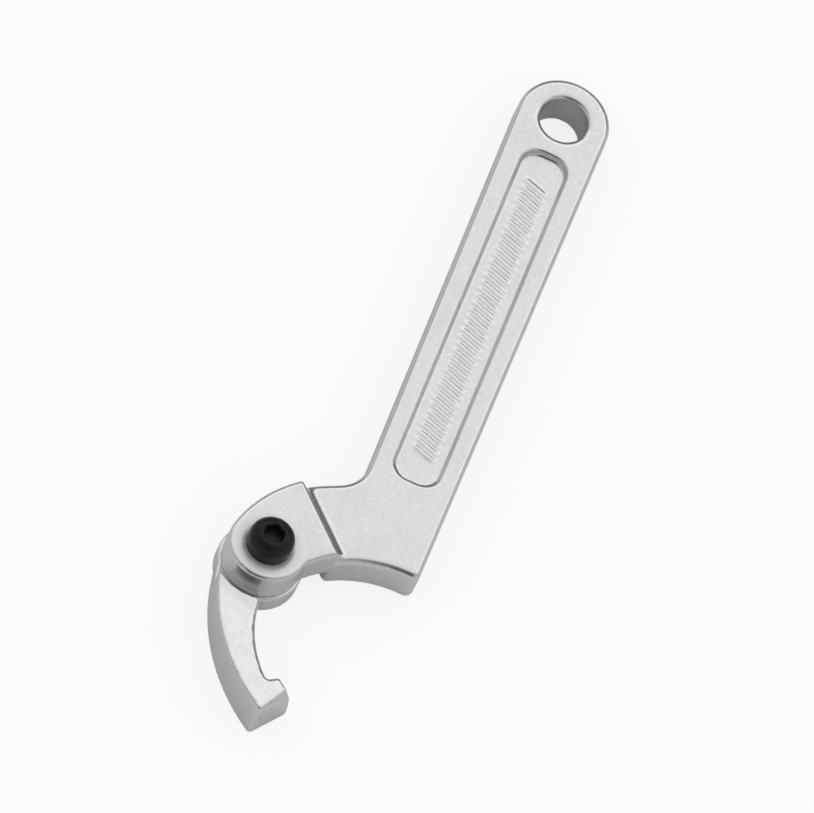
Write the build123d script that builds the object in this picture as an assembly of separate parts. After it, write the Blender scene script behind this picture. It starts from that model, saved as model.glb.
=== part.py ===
"""Adjustable hook spanner: a joggled flat handle, a swinging hook and the pivot that joins them.

Frame, in millimetres: the origin is the centre of the hang hole on the rear face, +X runs from the
hook end to the hang hole end, +Z points out of the front face. The tool lies on its rear face, z = 0.
"""

from build123d import *
from math import cos, hypot, radians, sin, sqrt, tan
import os

# Grip: a tapering flat bar with a round end about the hang hole.
END_RADIUS = 9.8
NOSE_HALF_WIDTH = 9.05
GRIP_THICKNESS = 8.7
GRIP_EDGE_ROUND = 1.3
HANG_HOLE_RADIUS = 5.0
HANG_HOLE_CHAMFER = 0.6

# Head: the upper edge leaves the grip at HEAD_CORNER and bends over the pivot into a round ear.
HEAD_CORNER_X = -101.0
HEAD_EDGE_ANGLE = 119.4
HEAD_CORNER_ROUND = 8.0
HEAD_TOP_RADIUS = 30.0
NOSE_ROUND = 1.6

# Jaw: the concave edge that bears on the round nut, about half as wide as the largest nut, 51 mm.
JAW_RADIUS = 25.75
JAW_CENTRE = (-142.7, -6.6)

# Lap joint: the ear stands proud of the grip in front and is relieved behind for the hook's tongue.
PIVOT = (-125.9, 22.0)
EAR_RADIUS = 8.4
EAR_BOTTOM = 4.6
EAR_TOP = 12.0
EAR_EDGE_ROUND = 0.9
STEP_EDGE_ROUND = 0.8
STEP_FOOT_ROUND = 2.8
EAR_LOWER_ROUND = 0.5
EAR_WAIST_ROUND = 4.0
STEP_DISTANCE = 13.4
SHOULDER_DISTANCE = 12.7
STEP_ANGLE = -45.7

# Sunk panel on both faces of the grip, with one even row of plain raised bars.
PANEL_START_X = -9.2
PANEL_END_X = -96.0
PANEL_HALF_WIDTH = 5.3
PANEL_CORNER = 4.2
PANEL_DEPTH = 1.3
PANEL_DRAFT = 20.0
PANEL_FLOOR_ROUND = 0.8
PANEL_RIM_ROUND = 0.4
BAR_COUNT = 40
BAR_PITCH = 1.8
BAR_LENGTH = 5.6
BAR_WIDTH = 0.85
BAR_HEIGHT = 0.3
BAR_SLANT = 20.0
BAR_DRAFT = 30.0
BAR_ROOT = 0.2

# Hook: a thin round tongue under the ear and a full-thickness arm that ends in a square tooth.
TONGUE_RADIUS = 9.0
TONGUE_THICKNESS = 4.5
TONGUE_CHAMFER = 0.3
SHOULDER_RADIUS = 11.2
ARM_OUTER_RADIUS = 43.9
ARM_OUTER_CENTRE = (-125.5, -13.8)
ARM_INNER_RADIUS = 27.0
ARM_INNER_CENTRE = (-135.5, -7.9)
ARM_FLAT_TOP = 9.0
ARM_RISE_ANGLE = 3.4
CREASE_POINT = (-139.2, 23.8)
CREASE_ANGLE = 161.6
TOOTH_ROOT = (-153.9, 11.5)
TOOTH_TOP = (-151.4, 8.2)
TOOTH_END = (-153.9, 4.9)
HOOK_TIP = (-161.9, 10.4)
TOOTH_ROOT_ROUND = 0.8
TOOTH_CORNER_ROUND = 0.9
TOOTH_FACE_POINT = (-153.6, 8.5, 9.6)
TOOTH_FACE_ANGLE = -38.0
TOOTH_FACE_DRAFT = 12.0
TOOTH_BLOCK = 10.0
END_BEVEL_POINT = (-161.6, 10.6, 10.0)
END_BEVEL_ANGLE = -112.5
END_BEVEL_RISE = 40.7
ARM_OUTER_EDGE_ROUND = 0.45
ARM_INNER_EDGE_ROUND = 1.0
ARM_REAR_EDGE_ROUND = 0.35

# Pivot: a black button-head screw from the front, in a flanged sleeve nut from behind.
SLEEVE_RADIUS = 4.0
HUB_BORE_RADIUS = 4.05
EAR_BORE_RADIUS = 4.02
SPOTFACE_RADIUS = 5.4
SPOTFACE_DEPTH = 0.3
HEAD_RADIUS = 4.8
HEAD_RIM = 2.6
HEAD_HEIGHT = 4.9
HEAD_FLAT_RADIUS = 2.9
HEAD_BULGE = (4.25, 4.05)
SOCKET_ACROSS_FLATS = 4.0
SOCKET_DEPTH = 2.1
SOCKET_LEAD = 0.3
THREAD_RADIUS = 2.7
THREAD_POINT = 0.5
FLANGE_RADIUS = 5.6
FLANGE_RECESS_RADIUS = 5.8
FLANGE_BOTTOM = 0.15
FLANGE_TOP = 1.6
FLANGE_CHAMFER = 0.3
FLANGE_RECESS_DEPTH = 1.7
SLEEVE_TOP = 11.5
SLOT_WIDTH = 1.2
SLOT_DEPTH = 0.7

# Larger than the tool, for cutting blocks, and the slack allowed when edges are found by their place.
BIG = 400.0
FINDING_SLACK = 0.01
ON_BASE = (Align.CENTER, Align.CENTER, Align.MIN)
AHEAD = (Align.MIN, Align.CENTER, Align.CENTER)


def along(angle, length=1.0):
    """A plan vector at this angle in degrees."""
    return Vector(length * cos(radians(angle)), length * sin(radians(angle)))


def edge_half_width(x):
    """Half the grip's width at x, which tapers evenly towards the nose."""
    nose_x = JAW_CENTRE[0] + JAW_RADIUS
    return END_RADIUS - (END_RADIUS - NOSE_HALF_WIDTH) * x / nose_x


def circles_meet(centre_a, radius_a, centre_b, radius_b, side):
    """Where two circles cross, on the left (side 1) or right (side -1) of the line from a to b."""
    a = Vector(*centre_a)
    b = Vector(*centre_b)
    gap = (b - a).length
    reach = (gap**2 + radius_a**2 - radius_b**2) / (2 * gap)
    rise = sqrt(radius_a**2 - reach**2)
    forward = (b - a) * (1 / gap)
    left = Vector(-forward.Y, forward.X)
    return a + forward * reach + left * (side * rise)


def arc_about(centre, radius, start, end, long_way=False):
    """The arc about a centre from start to end, the short way round unless told."""
    c = Vector(*centre)
    middle = ((start - c) + (end - c)).normalized() * radius
    if long_way:
        middle = middle * -1
    return ThreePointArc(start, c + middle, end)


def handle_outline():
    """The whole handle seen from the front: grip, head, ear and jaw."""
    pivot = Vector(*PIVOT)
    corner = Vector(HEAD_CORNER_X, edge_half_width(HEAD_CORNER_X))
    edge = along(HEAD_EDGE_ANGLE)
    inward = along(HEAD_EDGE_ANGLE + 90)
    # The top arc touches the straight head edge and the ear circle, so its centre follows from both.
    offset = corner + inward * HEAD_TOP_RADIUS - pivot
    half_b = offset.dot(edge)
    reach = HEAD_TOP_RADIUS - EAR_RADIUS
    run = -half_b - sqrt(half_b**2 - offset.dot(offset) + reach**2)
    top_start = corner + edge * run
    top_centre = top_start + inward * HEAD_TOP_RADIUS
    top_end = pivot + (pivot - top_centre).normalized() * EAR_RADIUS
    waist = circles_meet(JAW_CENTRE, JAW_RADIUS, PIVOT, EAR_RADIUS, -1)
    nose_y = -NOSE_HALF_WIDTH
    nose_x = JAW_CENTRE[0] + sqrt(JAW_RADIUS**2 - (nose_y - JAW_CENTRE[1]) ** 2)
    nose = Vector(nose_x, nose_y)
    end_low = Vector(0, -END_RADIUS)
    end_high = Vector(0, END_RADIUS)
    lines = [
        ThreePointArc(end_high, Vector(END_RADIUS, 0), end_low),
        Line(end_low, nose),
        arc_about(JAW_CENTRE, JAW_RADIUS, nose, waist),
        arc_about(PIVOT, EAR_RADIUS, waist, top_end, long_way=True),
        arc_about((top_centre.X, top_centre.Y), HEAD_TOP_RADIUS, top_end, top_start),
        Line(top_start, corner),
        Line(corner, end_high),
    ]
    face = make_face(lines)
    face = round_corner(face, nose, NOSE_ROUND)
    face = round_corner(face, waist, EAR_WAIST_ROUND)
    return round_corner(face, corner, HEAD_CORNER_ROUND)


def round_corner(face, point, radius):
    """The face with its corner nearest to the point rounded."""
    vertex = face.vertices().sort_by_distance(point)[0]
    return fillet(vertex, radius)


def half_plane(distance, outboard):
    """A large face on one side of a line across the head, the ear's side when outboard is true."""
    shift = BIG / 2
    if outboard:
        shift = -shift
    place = Pos(*PIVOT) * Rot(0, 0, STEP_ANGLE) * Pos(distance + shift, 0)
    return place * Rectangle(BIG, BIG)


def edges_at(solid, height):
    """The edges of a solid that lie at one height."""
    return solid.edges().filter_by_position(Axis.Z, height - FINDING_SLACK, height + FINDING_SLACK)


def across_head(edge):
    """True for an edge along the step or the shoulder that crosses the head."""
    middle = edge.center() - Vector(*PIVOT)
    distance = middle.dot(along(STEP_ANGLE))
    return min(abs(distance - STEP_DISTANCE), abs(distance - SHOULDER_DISTANCE)) < FINDING_SLACK


def along_outline(edge):
    """True for any other edge."""
    return not across_head(edge)


def step_foot(outline):
    """The hollow fillet at the foot of the step, between the web's face and the ear."""
    size = STEP_FOOT_ROUND
    block = Pos(size / 2, 0, size / 2) * Box(size, BIG, size)
    hollow = Pos(size, 0, size) * Rot(90, 0, 0) * Cylinder(size, BIG)
    foot = Pos(*PIVOT, GRIP_THICKNESS) * Rot(0, 0, STEP_ANGLE) * Pos(STEP_DISTANCE, 0) * (block - hollow)
    inner = offset(outline, -GRIP_EDGE_ROUND)
    return foot & extrude(inner, EAR_TOP)


def handle_blank():
    """Grip and web at one level, and the ear joggled forward."""
    outline = handle_outline()
    web = extrude(outline & half_plane(SHOULDER_DISTANCE, False), GRIP_THICKNESS)
    rims = (edges_at(web, GRIP_THICKNESS) + edges_at(web, 0)).filter_by(along_outline)
    web = fillet(rims, GRIP_EDGE_ROUND)
    ear = extrude(outline & half_plane(STEP_DISTANCE, True), EAR_TOP - EAR_BOTTOM)
    ear = Pos(0, 0, EAR_BOTTOM) * ear
    ear = fillet(edges_at(ear, EAR_TOP).filter_by(along_outline), EAR_EDGE_ROUND)
    ear = fillet(edges_at(ear, EAR_TOP).filter_by(across_head), STEP_EDGE_ROUND)
    ear = fillet(edges_at(ear, EAR_BOTTOM).filter_by(along_outline), EAR_LOWER_ROUND)
    return web + ear + step_foot(outline)


def panel_tool():
    """What the front panel removes: a drafted sunk pocket with rounded floor corners."""
    length = PANEL_START_X - PANEL_END_X
    middle = (PANEL_START_X + PANEL_END_X) / 2
    floor_inset = PANEL_DEPTH * tan(radians(PANEL_DRAFT))
    floor = Rectangle(length - 2 * floor_inset, 2 * (PANEL_HALF_WIDTH - floor_inset))
    floor = fillet(floor.vertices(), PANEL_CORNER - floor_inset)
    pocket = extrude(floor, 2 * PANEL_DEPTH, taper=-PANEL_DRAFT)
    pocket = fillet(edges_at(pocket, 0), PANEL_FLOOR_ROUND)
    return Pos(middle, 0, GRIP_THICKNESS - PANEL_DEPTH) * pocket


def around_panel(edge):
    """True for an edge of a panel's rim."""
    box = edge.bounding_box()
    across = max(abs(box.min.Y), abs(box.max.Y)) < PANEL_HALF_WIDTH + PANEL_RIM_ROUND
    return across and box.max.X < PANEL_START_X + PANEL_RIM_ROUND


def panel_bars():
    """The row of plain slanted bars that stand on the panel's floor."""
    foot_width = BAR_WIDTH + 2 * BAR_ROOT * tan(radians(BAR_DRAFT))
    foot = Rot(0, 0, 90 - BAR_SLANT) * SlotOverall(BAR_LENGTH, foot_width)
    bar = extrude(foot, BAR_HEIGHT + BAR_ROOT, taper=BAR_DRAFT)
    bar = Pos(0, 0, GRIP_THICKNESS - PANEL_DEPTH - BAR_ROOT) * bar
    middle = (PANEL_START_X + PANEL_END_X) / 2
    first = middle - BAR_PITCH * (BAR_COUNT - 1) / 2
    return [Pos(first + BAR_PITCH * i, 0) * bar for i in range(BAR_COUNT)]


def turned_over(solid):
    """The same shape on the rear face of the grip."""
    return Pos(0, 0, GRIP_THICKNESS) * Rot(180, 0, 0) * solid


def hang_hole_tool():
    """The hang hole, drilled through from behind, with a chamfer at its front mouth."""
    wide = HANG_HOLE_RADIUS + HANG_HOLE_CHAMFER
    hole = Pos(0, 0, GRIP_THICKNESS / 2) * Cylinder(HANG_HOLE_RADIUS, 2 * GRIP_THICKNESS)
    lead = Cone(wide, HANG_HOLE_RADIUS, HANG_HOLE_CHAMFER, align=ON_BASE)
    return hole + turned_over(lead)


def ear_bore_tool():
    """The bore for the sleeve nut and the spotface for the screw's head."""
    height = EAR_TOP - EAR_BOTTOM
    bore = Pos(0, 0, EAR_BOTTOM + height / 2) * Cylinder(EAR_BORE_RADIUS, 2 * height)
    spotface = Pos(0, 0, EAR_TOP) * Cylinder(SPOTFACE_RADIUS, 2 * SPOTFACE_DEPTH)
    return Pos(*PIVOT) * (bore + spotface)


def make_handle():
    """The forged handle."""
    handle = handle_blank()
    pocket = panel_tool()
    handle = handle - pocket - turned_over(pocket)
    rims = edges_at(handle, GRIP_THICKNESS) + edges_at(handle, 0)
    handle = fillet(rims.filter_by(around_panel), PANEL_RIM_ROUND)
    handle = handle - hang_hole_tool() - ear_bore_tool()
    for bar in panel_bars():
        handle = handle + bar + turned_over(bar)
    return handle


def on_circle(centre, radius, point):
    """The point of a circle that is nearest to a given point."""
    return Vector(*centre) + (Vector(*point) - Vector(*centre)).normalized() * radius


def hook_outline():
    """The hook seen from the front: the arm between two arcs, closed by the tooth and the tongue."""
    inner_low = on_circle(ARM_INNER_CENTRE, ARM_INNER_RADIUS, TOOTH_ROOT)
    outer_low = on_circle(ARM_OUTER_CENTRE, ARM_OUTER_RADIUS, HOOK_TIP)
    inner_high = circles_meet(ARM_INNER_CENTRE, ARM_INNER_RADIUS, PIVOT, TONGUE_RADIUS, 1)
    outer_high = circles_meet(ARM_OUTER_CENTRE, ARM_OUTER_RADIUS, PIVOT, TONGUE_RADIUS, 1)
    lines = [
        arc_about(ARM_OUTER_CENTRE, ARM_OUTER_RADIUS, outer_high, outer_low),
        Line(outer_low, Vector(*TOOTH_END)),
        Line(Vector(*TOOTH_END), Vector(*TOOTH_TOP)),
        Line(Vector(*TOOTH_TOP), inner_low),
        arc_about(ARM_INNER_CENTRE, ARM_INNER_RADIUS, inner_low, inner_high),
        Line(inner_high, Vector(*PIVOT)),
        Line(Vector(*PIVOT), outer_high),
    ]
    face = make_face(lines)
    face = round_corner(face, inner_low, TOOTH_ROOT_ROUND)
    face = round_corner(face, Vector(*TOOTH_TOP), TOOTH_CORNER_ROUND)
    face = round_corner(face, Vector(*TOOTH_END), TOOTH_CORNER_ROUND)
    return round_corner(face, outer_low, TOOTH_CORNER_ROUND)


def arm_top_tool():
    """The material above the arm: level near the ear, then rising from the crease to the tip."""
    level = Box(BIG, BIG, BIG, align=(Align.MIN, Align.CENTER, Align.MIN))
    level = Pos(0, 0, ARM_FLAT_TOP) * level
    rising = Box(BIG, BIG, BIG, align=(Align.MAX, Align.CENTER, Align.MIN))
    rising = Pos(0, 0, ARM_FLAT_TOP) * Rot(0, ARM_RISE_ANGLE, 0) * rising
    overlap = Pos(0, 0, ARM_FLAT_TOP + BIG / 2) * Box(BIG, BIG, BIG)
    return Pos(*CREASE_POINT) * Rot(0, 0, CREASE_ANGLE - 180) * (level + (rising & overlap))


def tooth_face_tool():
    """What lies beyond the tooth's bearing face, which leans back towards the front."""
    lean = Rot(0, 0, TOOTH_FACE_ANGLE) * Rot(0, -TOOTH_FACE_DRAFT, 0)
    block = Box(TOOTH_BLOCK, TOOTH_BLOCK, 4 * TOOTH_BLOCK, align=AHEAD)
    return Pos(*TOOTH_FACE_POINT) * lean * block


def end_bevel_tool():
    """The bevel between the arm's front face and its end, which widens towards the tooth."""
    lean = Rot(0, 0, END_BEVEL_ANGLE) * Rot(0, -END_BEVEL_RISE, 0)
    block = Box(BIG, BIG, BIG, align=AHEAD)
    return Pos(*END_BEVEL_POINT) * lean * block


def edges_on_arc(solid, centre, radius, low, high):
    """The edges of the arm that run along one of its two arcs between two heights."""
    def along_arc(edge):
        middle = edge @ 0.5
        level = abs((edge @ 0).Z - (edge @ 1).Z) < ARM_FLAT_TOP / 4
        reach = hypot(middle.X - centre[0], middle.Y - centre[1])
        return level and low <= middle.Z <= high and abs(reach - radius) < FINDING_SLACK

    return solid.edges().filter_by(along_arc)


def make_arm():
    """The arm with its tooth and its rounded long edges."""
    inner = (ARM_INNER_CENTRE, ARM_INNER_RADIUS)
    outer = (ARM_OUTER_CENTRE, ARM_OUTER_RADIUS)
    arm = extrude(hook_outline(), 2 * ARM_FLAT_TOP)
    arm = arm - arm_top_tool() - tooth_face_tool() - end_bevel_tool()
    front = (ARM_FLAT_TOP - FINDING_SLACK, 2 * ARM_FLAT_TOP)
    rear = (-FINDING_SLACK, FINDING_SLACK)
    arm = fillet(edges_on_arc(arm, *inner, *front), ARM_INNER_EDGE_ROUND)
    arm = fillet(edges_on_arc(arm, *outer, *front), ARM_OUTER_EDGE_ROUND)
    rear_edges = edges_on_arc(arm, *inner, *rear) + edges_on_arc(arm, *outer, *rear)
    return fillet(rear_edges, ARM_REAR_EDGE_ROUND)


def make_hook():
    """The forged hook: the arm, relieved round the ear, and the tongue with its bore."""
    relief = Pos(*PIVOT, TONGUE_THICKNESS + BIG / 2) * Cylinder(SHOULDER_RADIUS, BIG)
    tongue = extrude(Circle(TONGUE_RADIUS), TONGUE_THICKNESS)
    tongue = Pos(*PIVOT) * chamfer(tongue.edges(), TONGUE_CHAMFER)
    bore = Pos(*PIVOT) * Cylinder(HUB_BORE_RADIUS, BIG)
    recess = Pos(*PIVOT) * Cylinder(FLANGE_RECESS_RADIUS, 2 * FLANGE_RECESS_DEPTH)
    return make_arm() - relief + tongue - bore - recess


def make_pivot_screw():
    """The black button-head screw with its hexagon socket."""
    seat = EAR_TOP - SPOTFACE_DEPTH
    top = seat + HEAD_HEIGHT
    bottom = FLANGE_TOP - THREAD_POINT
    flat_rim = (HEAD_FLAT_RADIUS, top)
    bulge = (HEAD_BULGE[0], seat + HEAD_BULGE[1])
    corners = [
        (HEAD_RADIUS, seat + HEAD_RIM),
        (HEAD_RADIUS, seat),
        (THREAD_RADIUS, seat),
        (THREAD_RADIUS, FLANGE_TOP),
        (THREAD_RADIUS - THREAD_POINT, bottom),
        (0, bottom),
        (0, top),
        flat_rim,
    ]
    profile = make_face([ThreePointArc(flat_rim, bulge, corners[0]), Polyline(*corners)])
    screw = revolve(Plane.XZ * profile, Axis.Z)
    hexagon = RegularPolygon(SOCKET_ACROSS_FLATS / 2, 6, major_radius=False)
    socket = Pos(0, 0, top - SOCKET_DEPTH) * extrude(hexagon, BIG)
    mouth = SOCKET_ACROSS_FLATS / sqrt(3)
    lead = Cone(mouth - SOCKET_LEAD, mouth, SOCKET_LEAD, align=ON_BASE)
    return Pos(*PIVOT) * (screw - socket - Pos(0, 0, top - SOCKET_LEAD) * lead)


def make_pivot_nut():
    """The flanged sleeve nut that the hook turns on, slotted behind."""
    flange = Pos(0, 0, FLANGE_BOTTOM) * extrude(Circle(FLANGE_RADIUS), FLANGE_TOP - FLANGE_BOTTOM)
    flange = chamfer(edges_at(flange, FLANGE_BOTTOM), FLANGE_CHAMFER)
    sleeve = Pos(0, 0, FLANGE_BOTTOM) * extrude(Circle(SLEEVE_RADIUS), SLEEVE_TOP - FLANGE_BOTTOM)
    nut = flange + sleeve
    thread = Pos(0, 0, SLEEVE_TOP / 2) * Cylinder(THREAD_RADIUS, BIG)
    slot = Pos(0, 0, FLANGE_BOTTOM) * Box(BIG, SLOT_WIDTH, 2 * SLOT_DEPTH)
    return Pos(*PIVOT) * (nut - thread - slot)


os.makedirs("parts", exist_ok=True)
export_step(make_handle(), "parts/handle.step")
export_step(make_hook(), "parts/hook.step")
export_step(make_pivot_screw(), "parts/pivot_screw.step")
export_step(make_pivot_nut(), "parts/pivot_nut.step")
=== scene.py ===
"""An adjustable hook spanner in satin chrome, lying on a pale studio floor."""

from math import cos, radians, sin

import bmesh
import bpy
import numpy as np
from mathutils import Matrix, Vector
from mathutils.bvhtree import BVHTree
from mathutils.kdtree import KDTree


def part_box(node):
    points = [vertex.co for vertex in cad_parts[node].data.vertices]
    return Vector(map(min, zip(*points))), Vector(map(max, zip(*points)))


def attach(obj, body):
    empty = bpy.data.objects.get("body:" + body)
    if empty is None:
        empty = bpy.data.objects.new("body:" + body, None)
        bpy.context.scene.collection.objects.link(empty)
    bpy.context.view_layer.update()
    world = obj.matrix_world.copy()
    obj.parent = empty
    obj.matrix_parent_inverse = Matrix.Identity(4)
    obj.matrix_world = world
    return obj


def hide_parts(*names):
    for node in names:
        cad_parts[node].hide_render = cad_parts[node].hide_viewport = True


# Lengths are in metres.
MM = 0.001

# The camera looks down on the tool's front face, leaning towards its hook end.
LONG_AXIS = radians(176.5)
LEAN = radians(33.0)
ROLL = radians(27.0)
VIEW_CENTRE = Vector((-79.8, 6.9, 8.7)) * MM
VIEW_WIDTH = 166.0 * MM
LENS = 1500.0
SENSOR = 36.0
CLIP_RANGE = 10
TOWARDS_HOOK = Vector((cos(LONG_AXIS), sin(LONG_AXIS), 0))
TOWARDS_SIDE = Vector((-sin(LONG_AXIS), cos(LONG_AXIS), 0))
UP = Vector((0, 0, 1))

# The studio, as the metal sees it. Brightness by the height of the line of sight above the floor.
HORIZON_GLOW = ((0.0, 0.48), (0.25, 0.46), (0.4, 0.44), (1.0, 0.42))
DARKEST = 0.02
# Each softbox or dark flag, in degrees: lean from straight up towards the hang end, from and to, its
# soft edge, how far it reaches to either side, that edge, and last its strength.
SOFTBOXES = (
    (8, 52, 5, 44, 9, 0.40),
    (38, 52, 3, 44, 9, 0.36),
    (-68, -12, 8, 24, 8, -0.36),
    (56, 96, 5, 40, 10, -0.34),
)
# Less than any angle to the side, so that a box has no edge in its middle.
NO_EDGE = -90
WHITE = (1, 1, 1, 1)
ROOM_LIGHT = 1.0
FLOOR_SIZE = 6.0
# The floor's tone as it is seen, its tone as the metal sees it, and the share of it that glows.
FLOOR_TONE = 0.97
CARD_TONE = 0.55
FLOOR_GLOW = 0.84

# Forged skins: the node, its body, the voxel its skin is built from, and how many times the skin is
# relaxed. Within one voxel of a crease it stays as relaxed, and over the next voxel and a half it
# turns into the true surface. Each relaxing moves a point by a share of the way to the middle of its
# neighbours, and a last one goes over everything.
SKINS = (("handle", "handle_body", 0.34 * MM, 5), ("hook", "hook_body", 0.2 * MM, 4))
CREASE_ANGLE = radians(25)
CREASE_STEP = 0.15 * MM
CREASE_BLEND = 1.5
RELAX_SHARE = 0.5
LAST_SHARE = 0.25
WELD = 0.002 * MM

# The blasted ring that a cutter left on the ear round the screw's head, and how far below the top of
# the ear its paint starts and is whole.
RING_INNER = 4.6 * MM
RING_OUTER = 7.4 * MM
RING_EDGE = 1.0 * MM
RING_START = 0.8 * MM
RING_WHOLE = 0.5 * MM
RING_SHARE = 0.35
RING_ROUGH = 0.2

# Satin chrome: how large each kind of mark is, and how deep the relief is that it makes.
GRAIN, GRAIN_DEPTH = 0.3 * MM, 0.009 * MM
PEEL, PEEL_DEPTH = 1.1 * MM, 0.014 * MM
SWELL, SWELL_DEPTH = 4.0 * MM, 0.03 * MM
CLOUD = 9.0 * MM
# How many finer layers a noise has.
PLAIN_LAYERS = 2.0
FINE_LAYERS = 3.0
CLOUD_LAYERS = 4.0
# Ramps from a mark's strength, or from how far a corner sticks out, to a brightness or roughness. The
# corner ramp is painted shade in hollow corners and creases, and lighter wear on convex edges.
CLOUD_ROUGH = ((0.3, 0.19), (0.7, 0.28))
CLOUD_TONE = ((0.25, 0.81), (0.75, 0.85))
PEEL_TONE = ((0.3, 0.94), (0.7, 1.01))
GRAIN_TONE = ((0.3, 0.95), (0.7, 1.02))
# Painted shade: hollow corners darken to 0.30 of the tone, and convex edges brighten as if worn.
CORNER_SHADE_AND_WEAR = ((0.36, 0.30), (0.455, 1.0), (0.56, 1.0), (0.64, 1.08))

# Black oxide, in the same way.
TOOTH, TOOTH_DEPTH = 0.18 * MM, 0.008 * MM
PATCH, PATCH_DEPTH = 1.6 * MM, 0.01 * MM
PATCH_TONE = ((0.3, 0.003), (0.7, 0.010))
PATCH_ROUGH = ((0.3, 0.3), (0.7, 0.46))
OIL_SHINE = 0.28


def make_camera():
    """The camera at the viewing angle, far off with a long lens."""
    back = sin(LEAN) * TOWARDS_HOOK + cos(LEAN) * UP
    along_tool = cos(LEAN) * TOWARDS_HOOK - sin(LEAN) * UP
    right = cos(ROLL) * TOWARDS_SIDE - sin(ROLL) * along_tool
    down = sin(ROLL) * TOWARDS_SIDE + cos(ROLL) * along_tool
    data = bpy.data.cameras.new("camera")
    data.lens = LENS
    data.sensor_width = SENSOR
    camera = bpy.data.objects.new("camera", data)
    bpy.context.collection.objects.link(camera)
    distance = VIEW_WIDTH * LENS / SENSOR
    data.clip_start = distance / CLIP_RANGE
    data.clip_end = distance * CLIP_RANGE
    place = Matrix((right, -down, back)).transposed().to_4x4()
    place.translation = VIEW_CENTRE + back * distance
    camera.matrix_world = place
    bpy.context.scene.camera = camera


class Nodes:
    """A short way to add and join shader nodes in one tree."""

    def __init__(self, tree):
        self.tree = tree
        self.tree.nodes.clear()

    def add(self, kind, inputs=None, **settings):
        """One node, with values or sockets for its inputs by name or place."""
        node = self.tree.nodes.new(kind)
        for name, value in settings.items():
            setattr(node, name, value)
        for key, value in (inputs or {}).items():
            socket = node.inputs[key]
            if isinstance(value, bpy.types.NodeSocket):
                self.tree.links.new(value, socket)
            else:
                socket.default_value = value
        return node

    def ramp(self, value, stops):
        """A grey ramp: pairs of place and brightness."""
        node = self.add("ShaderNodeValToRGB", {0: value})
        band = node.color_ramp.elements
        while len(band) < len(stops):
            band.new(0.5)
        for element, (place, grey) in zip(band, stops):
            element.position = place
            element.color = (grey, grey, grey, 1)
        return node.outputs["Color"]

    def math(self, operation, a, b=0.0):
        """One sum on two numbers or sockets."""
        return self.add("ShaderNodeMath", {0: a, 1: b}, operation=operation).outputs[0]

    def vector(self, operation, inputs, output="Vector"):
        """One sum on vectors."""
        return self.add("ShaderNodeVectorMath", inputs, operation=operation).outputs[output]

    def multiply(self, a, b):
        """One colour times another, by the colour sockets of a mix node."""
        inputs = {"Factor": 1.0, 6: a, 7: b}
        return self.add("ShaderNodeMix", inputs, data_type="RGBA", blend_type="MULTIPLY").outputs[2]

    def noise(self, place, size, layers=PLAIN_LAYERS):
        """Noise whose grain is about this size."""
        inputs = {"Vector": place, "Scale": 1 / size, "Detail": layers}
        return self.add("ShaderNodeTexNoise", inputs).outputs["Fac"]

    def bump(self, height, depth, under=None):
        """Relief of this depth, on top of another if one is given."""
        inputs = {"Height": height, "Distance": depth, "Strength": 1.0}
        if under is not None:
            inputs["Normal"] = under
        return self.add("ShaderNodeBump", inputs).outputs[0]

    def between(self, value, low, high):
        """0 on the low side, 1 on the high side, and smooth between."""
        inputs = {"Value": value, "From Min": low, "From Max": high}
        return self.add("ShaderNodeMapRange", inputs, interpolation_type="SMOOTHSTEP").outputs["Result"]

    def window(self, value, low, high, edge):
        """1 between two angles in degrees and 0 outside, over soft edges."""
        rise = self.between(value, radians(low - edge), radians(low + edge))
        fall = self.between(value, radians(high + edge), radians(high - edge))
        return self.math("MULTIPLY", rise, fall)

    def shader(self, kind, inputs):
        """The output of a new shader."""
        return self.add(kind, inputs).outputs[0]

    def by_ray(self, seen, reflected):
        """One shader for what is seen or lit directly, and another for what gloss reflects."""
        glossy = self.add("ShaderNodeLightPath").outputs["Is Glossy Ray"]
        return self.shader("ShaderNodeMixShader", {0: glossy, 1: seen, 2: reflected})


def make_studio():
    """An even white light on the floor, and large softboxes that the metal reflects."""
    world = bpy.data.worlds.new("studio")
    bpy.context.scene.world = world
    world.use_nodes = True
    nodes = Nodes(world.node_tree)
    looking = nodes.add("ShaderNodeTexCoord").outputs["Generated"]
    along, sideways, height = (
        nodes.vector("DOT_PRODUCT", {0: looking, 1: way}, "Value")
        for way in (-TOWARDS_HOOK, TOWARDS_SIDE, UP)
    )
    lean = nodes.math("ARCTAN2", along, height)
    side = nodes.math("ABSOLUTE", nodes.math("ARCSINE", sideways))
    total = nodes.ramp(height, HORIZON_GLOW)
    for low, high, edge, reach, side_edge, strength in SOFTBOXES:
        length = nodes.window(lean, low, high, edge)
        width = nodes.window(side, NO_EDGE, reach, side_edge)
        box = nodes.math("MULTIPLY", length, width)
        total = nodes.math("ADD", total, nodes.math("MULTIPLY", box, strength))
    total = nodes.math("MAXIMUM", total, DARKEST)
    seen = nodes.shader("ShaderNodeBackground", {"Color": WHITE, "Strength": ROOM_LIGHT})
    reflected = nodes.shader("ShaderNodeBackground", {"Color": WHITE, "Strength": total})
    nodes.add("ShaderNodeOutputWorld", {"Surface": nodes.by_ray(seen, reflected)})


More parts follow.
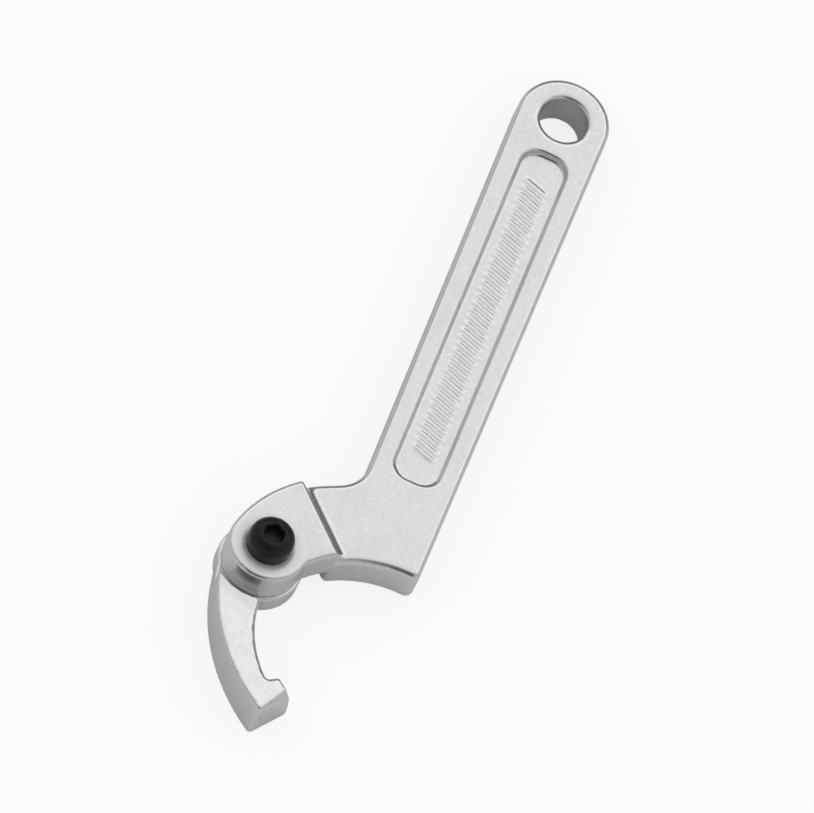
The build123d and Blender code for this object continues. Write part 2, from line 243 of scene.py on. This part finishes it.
def make_floor():
    """A white acrylic table, partly lit from below, which the metal sees as a grey card."""
    bpy.ops.mesh.primitive_plane_add(size=FLOOR_SIZE)
    floor = bpy.context.object
    floor.name = "floor"
    material = bpy.data.materials.new("floor")
    material.use_nodes = True
    nodes = Nodes(material.node_tree)
    white = (FLOOR_TONE, FLOOR_TONE, FLOOR_TONE, 1)
    grey = (CARD_TONE, CARD_TONE, CARD_TONE, 1)
    lit = nodes.shader("ShaderNodeBsdfDiffuse", {"Color": white})
    glow = nodes.shader("ShaderNodeEmission", {"Color": white, "Strength": ROOM_LIGHT})
    table = nodes.shader("ShaderNodeMixShader", {0: FLOOR_GLOW, 1: lit, 2: glow})
    card = nodes.shader("ShaderNodeBsdfDiffuse", {"Color": grey})
    nodes.add("ShaderNodeOutputMaterial", {"Surface": nodes.by_ray(table, card)})
    floor.data.materials.append(material)


def ring_mask(nodes, place, centre, top):
    """1 on the ring round the screw's head, on the ear's face alone."""
    offset = nodes.vector("SUBTRACT", {0: place, 1: centre})
    radius = nodes.vector("LENGTH", {0: nodes.vector("MULTIPLY", {0: offset, 1: (1, 1, 0)})}, "Value")
    inside = nodes.between(radius, RING_OUTER + RING_EDGE, RING_OUTER - RING_EDGE)
    outside = nodes.between(radius, RING_INNER - 2 * RING_EDGE, RING_INNER - RING_EDGE)
    height = nodes.add("ShaderNodeSeparateXYZ", {0: place}).outputs["Z"]
    on_ear = nodes.between(height, top - RING_START, top - RING_WHOLE)
    return nodes.math("MULTIPLY", nodes.math("MULTIPLY", inside, outside), on_ear)


def satin_chrome(centre, ear_top):
    """Satin plate over a forged and blasted surface, with painted shade in its hollow corners and edges
    brightened as if worn.
    """
    material = bpy.data.materials.new("satin_chrome")
    material.use_nodes = True
    nodes = Nodes(material.node_tree)
    place = nodes.add("ShaderNodeTexCoord").outputs["Object"]
    grain = nodes.noise(place, GRAIN, FINE_LAYERS)
    orange_peel = nodes.noise(place, PEEL)
    swell = nodes.noise(place, SWELL)
    cloud = nodes.noise(place, CLOUD, CLOUD_LAYERS)
    relief = nodes.bump(grain, GRAIN_DEPTH)
    relief = nodes.bump(orange_peel, PEEL_DEPTH, relief)
    relief = nodes.bump(swell, SWELL_DEPTH, relief)
    ring = ring_mask(nodes, place, centre, ear_top)
    rough = nodes.ramp(cloud, CLOUD_ROUGH)
    rough = nodes.math("ADD", rough, nodes.math("MULTIPLY", ring, RING_ROUGH))
    corner = nodes.add("ShaderNodeNewGeometry").outputs["Pointiness"]
    # Painted shade: the colour darkens in hollow corners and creases, and is lighter on convex edges,
    # as if worn.
    tone = nodes.multiply(nodes.ramp(cloud, CLOUD_TONE), nodes.ramp(corner, CORNER_SHADE_AND_WEAR))
    tone = nodes.multiply(tone, nodes.ramp(orange_peel, PEEL_TONE))
    tone = nodes.multiply(tone, nodes.ramp(grain, GRAIN_TONE))
    surface = nodes.shader("ShaderNodeBsdfPrincipled", {
        "Base Color": tone,
        "Metallic": nodes.math("SUBTRACT", 1.0, nodes.math("MULTIPLY", ring, RING_SHARE)),
        "Roughness": rough,
        "Normal": relief,
    })
    nodes.add("ShaderNodeOutputMaterial", {"Surface": surface})
    return material


def black_oxide():
    """Oiled black oxide on turned steel, with a fine tooth and paler where the coat is thin."""
    material = bpy.data.materials.new("black_oxide")
    material.use_nodes = True
    nodes = Nodes(material.node_tree)
    place = nodes.add("ShaderNodeTexCoord").outputs["Object"]
    tooth = nodes.noise(place, TOOTH, FINE_LAYERS)
    patch = nodes.noise(place, PATCH, FINE_LAYERS)
    surface = nodes.shader("ShaderNodeBsdfPrincipled", {
        "Base Color": nodes.ramp(patch, PATCH_TONE),
        "Metallic": 0.0,
        "Roughness": nodes.ramp(patch, PATCH_ROUGH),
        "Specular IOR Level": OIL_SHINE,
        "Normal": nodes.bump(patch, PATCH_DEPTH, nodes.bump(tooth, TOOTH_DEPTH)),
    })
    nodes.add("ShaderNodeOutputMaterial", {"Surface": surface})
    return material


def crease_points(mesh):
    """Points close together along every edge of a mesh that turns sharply."""
    edit = bmesh.new()
    edit.from_mesh(mesh)
    bmesh.ops.remove_doubles(edit, verts=edit.verts, dist=WELD)
    points = []
    for edge in edit.edges:
        if len(edge.link_faces) == 2 and edge.calc_face_angle() > CREASE_ANGLE:
            a, b = (v.co for v in edge.verts)
            steps = max(1, round(edge.calc_length() / CREASE_STEP))
            points += [a.lerp(b, i / steps) for i in range(steps + 1)]
    edit.free()
    tree = KDTree(len(points))
    for i, point in enumerate(points):
        tree.insert(point, i)
    tree.balance()
    return tree


def mesh_points(mesh):
    """A mesh's points as an array."""
    points = np.empty(len(mesh.vertices) * 3)
    mesh.vertices.foreach_get("co", points)
    return points.reshape(-1, 3)


def mesh_edges(mesh):
    """The two points of every edge of a mesh, as an array."""
    pairs = np.empty(len(mesh.edges) * 2, np.int32)
    mesh.edges.foreach_get("vertices", pairs)
    return pairs.reshape(-1, 2)


def relaxed(points, pairs, share):
    """Every point moved part of the way to the middle of its neighbours."""
    total = np.zeros_like(points)
    count = np.zeros(len(points))
    for a, b in ((0, 1), (1, 0)):
        for axis in range(3):
            total[:, axis] += np.bincount(pairs[:, a], points[pairs[:, b], axis], len(points))
        count += np.bincount(pairs[:, a], minlength=len(points))
    return points + share * (total / count[:, None] - points)


def dense_copy(node, name, voxel):
    """A new object that is a node's shape remeshed in voxels."""
    piece = bpy.data.objects.new(name, node.data.copy())
    bpy.context.collection.objects.link(piece)
    weld = piece.modifiers.new("weld", "WELD")
    weld.merge_threshold = WELD
    remesh = piece.modifiers.new("remesh", "REMESH")
    remesh.mode = "VOXEL"
    remesh.voxel_size = voxel
    view = bpy.context.evaluated_depsgraph_get()
    skin = bpy.data.meshes.new_from_object(piece.evaluated_get(view))
    piece.modifiers.clear()
    piece.data = skin
    return piece


def forged_skin(name, voxel, soften):
    """A dense skin on a CAD node: true to it on its faces, and soft along its creases."""
    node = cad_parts[name]
    piece = dense_copy(node, "forged_" + name, voxel)
    skin = piece.data
    true_shape = BVHTree.FromObject(node, bpy.context.evaluated_depsgraph_get())
    creases = crease_points(node.data)
    points = mesh_points(skin)
    pairs = mesh_edges(skin)
    for _ in range(soften):
        points = relaxed(points, pairs, RELAX_SHARE)
    away = np.empty(len(points))
    onto = np.empty_like(points)
    for i, point in enumerate(points):
        onto[i] = true_shape.find_nearest(point)[0]
        away[i] = creases.find(point)[2]
    keep = np.clip((away - voxel) / (CREASE_BLEND * voxel), 0, 1)[:, None]
    keep = keep * keep * (3 - 2 * keep)
    points = onto * keep + points * (1 - keep)
    points = relaxed(points, pairs, LAST_SHARE)
    skin.vertices.foreach_set("co", points.ravel())
    skin.update()
    for polygon in skin.polygons:
        polygon.use_smooth = True
    return piece


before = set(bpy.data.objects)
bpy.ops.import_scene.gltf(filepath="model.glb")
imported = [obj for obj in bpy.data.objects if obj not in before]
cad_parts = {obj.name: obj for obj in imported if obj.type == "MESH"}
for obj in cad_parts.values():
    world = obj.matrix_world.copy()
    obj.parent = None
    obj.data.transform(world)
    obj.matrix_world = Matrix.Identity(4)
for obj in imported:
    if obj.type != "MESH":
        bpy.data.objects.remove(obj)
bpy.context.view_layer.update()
make_camera()
make_studio()
make_floor()
bpy.context.scene.view_settings.view_transform = "Standard"
low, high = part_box("pivot_screw")
screw_axis = ((low[0] + high[0]) / 2, (low[1] + high[1]) / 2, 0)
ear_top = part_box("handle")[1][2]
chrome = satin_chrome(screw_axis, ear_top)
black = black_oxide()
for name, body, voxel, soften in SKINS:
    piece = forged_skin(name, voxel, soften)
    piece.data.materials.clear()
    piece.data.materials.append(chrome)
    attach(piece, body)
    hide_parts(name)
for name in ("pivot_screw", "pivot_nut"):
    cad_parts[name].data.materials[0] = black
